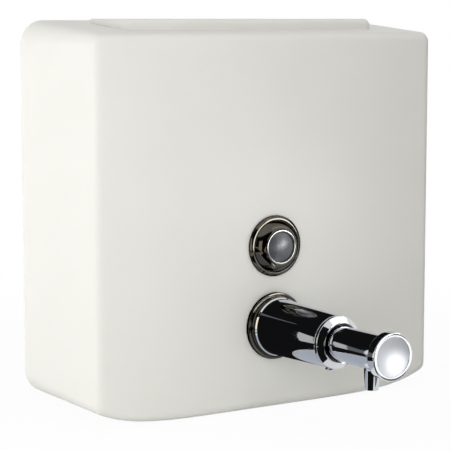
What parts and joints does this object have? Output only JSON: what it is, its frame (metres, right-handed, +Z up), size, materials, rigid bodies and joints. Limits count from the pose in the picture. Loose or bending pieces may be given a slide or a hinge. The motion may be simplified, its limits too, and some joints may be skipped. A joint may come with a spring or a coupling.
{
  "type": "soap dispenser",
  "caption": "Wall-mounted white steel soap dispenser with a chrome push pump, a round sight window and a hinged, locking filler lid.",
  "frame": {"origin": "centre of the four wall holes, on the wall face of the back plate", "axes": "+Y into the wall, so the front faces -Y; +Z up; +X to the viewer's right when facing the front"},
  "size_m": [0.208, 0.164, 0.1937],
  "materials": {
    "white_powder_coat": "satin",
    "zinc_plated_steel": "satin",
    "stainless_steel": "satin",
    "chrome_plate": "polished",
    "black_nickel": "polished",
    "milky_polyethylene": "matte",
    "black_acetal": "matte",
    "black_rubber": "matte",
    "clear_acrylic": "polished"
  },
  "bodies": {
    "case": {"case_cover": "white_powder_coat", "back_plate": "zinc_plated_steel", "locking_screws": "zinc_plated_steel", "tank": "milky_polyethylene", "hinge_leaf": "stainless_steel", "hinge_pin": "stainless_steel", "hinge_rivets": "stainless_steel", "window_bezel": "black_nickel", "window_lens": "clear_acrylic", "lens_seal": "black_rubber", "lens_ring": "black_acetal", "window_gasket": "black_rubber", "window_washer": "stainless_steel", "window_nut": "black_acetal", "pump_flange": "black_nickel", "pump_barrel": "chrome_plate", "barrel_collar": "chrome_plate", "bush_screw": "chrome_plate", "guide_bush": "black_acetal", "pump_liner": "milky_polyethylene", "pump_gasket": "black_rubber", "pump_washer": "stainless_steel", "pump_nut": "black_acetal", "inlet_elbow": "milky_polyethylene", "foot_valve": "milky_polyethylene", "return_spring": "stainless_steel"},
    "plunger": {"plunger_tube": "chrome_plate", "push_button": "chrome_plate", "spout": "chrome_plate", "piston": "black_acetal", "piston_seal": "black_rubber"},
    "outlet_valve": {"outlet_ball": "stainless_steel"},
    "inlet_valve": {"inlet_ball": "stainless_steel"},
    "lid": {"filler_lid": "white_powder_coat", "lid_gasket": "black_rubber", "lock_housing": "chrome_plate"},
    "lock": {"lock_barrel": "chrome_plate", "lock_cam": "zinc_plated_steel", "cam_screw": "zinc_plated_steel"}
  },
  "joints": [
    {"name": "plunger_slide", "type": "slide", "parent": "case", "child": "plunger", "axis": [0, 1, 0], "range_m": [0, 0.015], "stiffness_N_per_m": 400, "springref_m": -0.005, "deforming": ["return_spring"]},
    {"name": "outlet_ball_lift", "type": "slide", "parent": "plunger", "child": "outlet_valve", "axis": [0, -1, 0], "range_m": [0, 0.0035]},
    {"name": "inlet_ball_lift", "type": "slide", "parent": "case", "child": "inlet_valve", "axis": [0, 0, 1], "range_m": [0, 0.003]},
    {"name": "lid_hinge", "type": "hinge", "parent": "case", "child": "lid", "pos_m": [0, -0.00885, 0.09396], "axis": [-1, 0, 0], "range_deg": [0, 95]},
    {"name": "lock_turn", "type": "hinge", "parent": "lid", "child": "lock", "pos_m": [0, -0.04155, 0.093], "axis": [0, 0, -1], "range_deg": [0, 90]}
  ]
}
